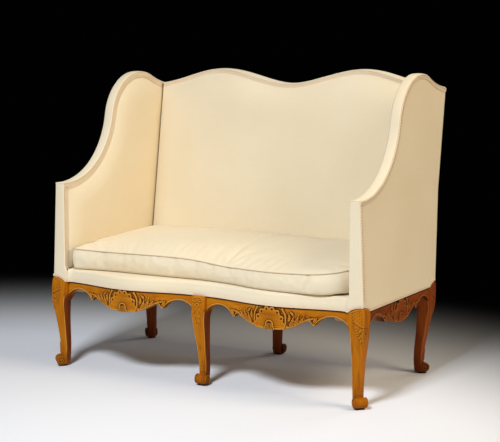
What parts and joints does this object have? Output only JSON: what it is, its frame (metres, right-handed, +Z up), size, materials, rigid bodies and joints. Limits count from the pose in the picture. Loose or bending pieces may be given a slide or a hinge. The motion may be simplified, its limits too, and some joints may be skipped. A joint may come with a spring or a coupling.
{
  "type": "settee",
  "caption": "Winged settee with carved cabriole legs and scalloped aprons, upholstered back and wings with a waved crest, and a loose seat cushion.",
  "frame": {"origin": "on the floor under the middle of the settee's box", "axes": "+Z up, +X along the width, -Y is the way a sitter faces"},
  "size_m": [1.2536, 0.7546, 1.07],
  "materials": {
    "hessian": "open weave",
    "webbing": "jute webbing",
    "frame_beech": "planed, unfinished",
    "cream_cloth": "plain weave",
    "braid": "woven gimp",
    "feather_filling": "feather and down in a case",
    "piping": "covered cord",
    "carved_wood": "waxed, golden brown"
  },
  "bodies": {
    "settee": {"back_hessian": "hessian", "back_webbing": "webbing", "corner_blocks": "frame_beech", "crest_border": "cream_cloth", "crest_braid": "braid", "crest_rail": "frame_beech", "front_left_apron": "carved_wood", "front_left_leg": "carved_wood", "front_middle_leg": "carved_wood", "front_right_apron": "carved_wood", "front_right_leg": "carved_wood", "inside_back": "cream_cloth", "inside_left_wing": "cream_cloth", "inside_right_wing": "cream_cloth", "joint_pegs": "frame_beech", "left_arm_facing": "cream_cloth", "left_arm_rail": "frame_beech", "left_back_rail": "frame_beech", "left_side_apron": "carved_wood", "left_side_braid": "braid", "left_tacking_rail": "frame_beech", "left_wing_border": "cream_cloth", "left_wing_hessian": "hessian", "left_wing_rail": "frame_beech", "outside_back": "cream_cloth", "outside_left_wing": "cream_cloth", "outside_right_wing": "cream_cloth", "rear_left_leg": "carved_wood", "rear_left_rail": "frame_beech", "rear_middle_leg": "carved_wood", "rear_right_leg": "carved_wood", "rear_right_rail": "frame_beech", "right_arm_facing": "cream_cloth", "right_arm_rail": "frame_beech", "right_back_rail": "frame_beech", "right_side_apron": "carved_wood", "right_side_braid": "braid", "right_tacking_rail": "frame_beech", "right_wing_border": "cream_cloth", "right_wing_hessian": "hessian", "right_wing_rail": "frame_beech", "seat_base_braid": "braid", "seat_deck": "cream_cloth", "seat_hessian": "hessian", "seat_stretcher": "frame_beech", "seat_webbing_crosswise": "webbing", "seat_webbing_lengthwise": "webbing"},
    "cushion": {"cushion_bottom_panel": "cream_cloth", "cushion_boxing": "cream_cloth", "cushion_filling": "feather_filling", "cushion_piping": "piping", "cushion_top_panel": "cream_cloth"}
  },
  "joints": [
    {"name": "cushion_lift", "type": "slide", "parent": "settee", "child": "cushion", "axis": [0, 0, 1], "range_m": [0, 0.75]}
  ]
}
